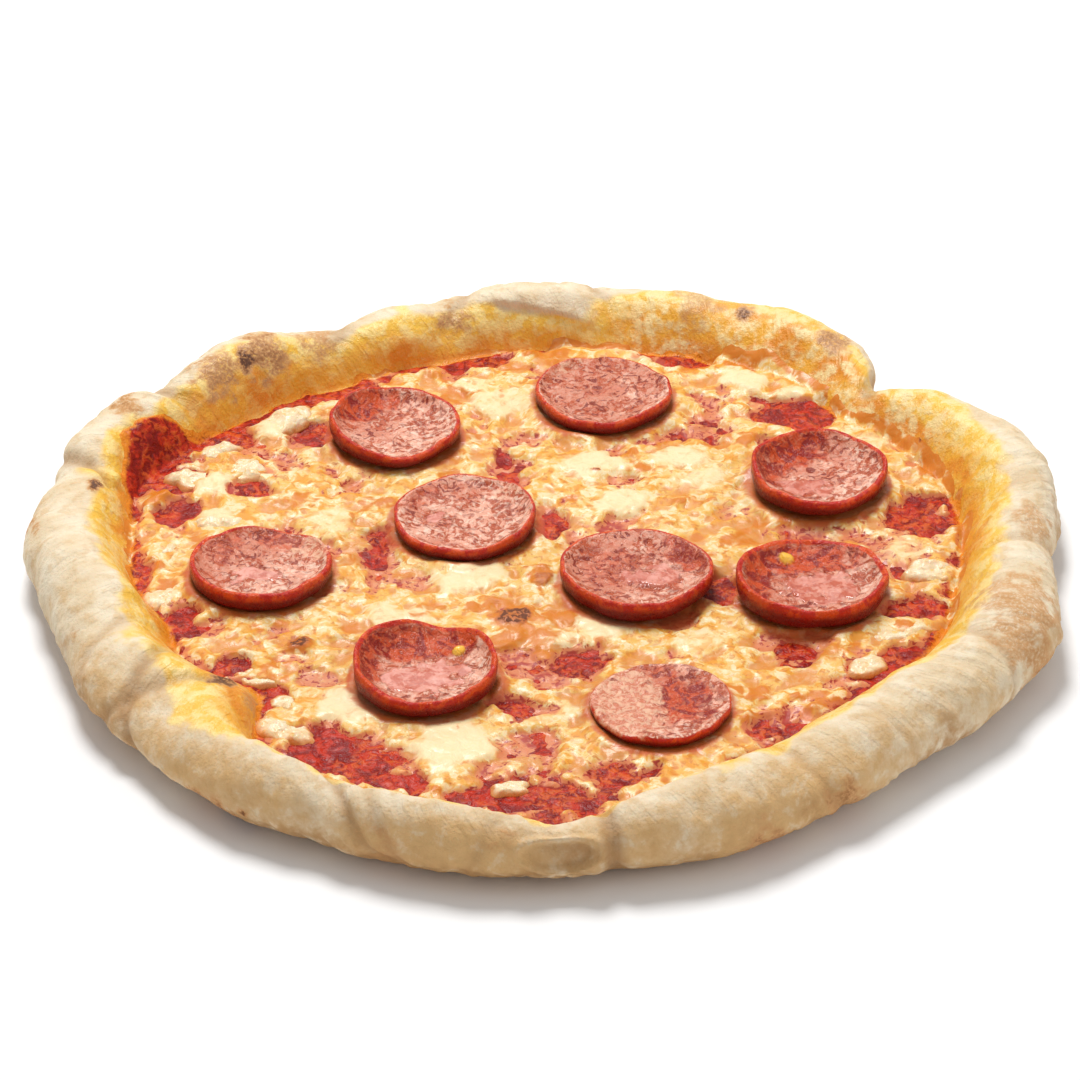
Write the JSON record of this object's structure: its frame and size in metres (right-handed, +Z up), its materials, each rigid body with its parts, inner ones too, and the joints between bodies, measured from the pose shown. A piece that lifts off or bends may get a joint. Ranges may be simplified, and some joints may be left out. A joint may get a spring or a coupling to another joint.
{
  "type": "pepperoni pizza",
  "caption": "Round baked pizza with a puffed uneven rim, tomato sauce, melted cheese, mozzarella lumps and cupped pepperoni.",
  "frame": {"origin": "middle of the flat underside that the pizza rests on", "axes": "+Z up, out of the toppings; +X to the viewer's right and -Y towards the viewer in the picture"},
  "size_m": [0.3024, 0.298, 0.024],
  "materials": {
    "baked_dough": "matt, floured, browned in spots",
    "tomato_sauce": "wet and lumpy",
    "melted_cheese": "satin, oily in places",
    "mozzarella": "satin",
    "pepperoni": "oily, marbled with fat"
  },
  "bodies": {
    "root": {"crust": "baked_dough", "sauce": "tomato_sauce", "cheese": "melted_cheese", "mozzarella_1": "mozzarella", "mozzarella_2": "mozzarella", "mozzarella_3": "mozzarella", "mozzarella_4": "mozzarella", "mozzarella_5": "mozzarella", "mozzarella_6": "mozzarella", "mozzarella_7": "mozzarella", "mozzarella_8": "mozzarella", "mozzarella_9": "mozzarella", "mozzarella_10": "mozzarella", "mozzarella_11": "mozzarella", "mozzarella_12": "mozzarella", "mozzarella_13": "mozzarella", "mozzarella_14": "mozzarella", "pepperoni_1": "pepperoni", "pepperoni_2": "pepperoni", "pepperoni_3": "pepperoni", "pepperoni_4": "pepperoni", "pepperoni_5": "pepperoni", "pepperoni_6": "pepperoni", "pepperoni_7": "pepperoni", "pepperoni_8": "pepperoni", "pepperoni_9": "pepperoni"}
  },
  "joints": []
}
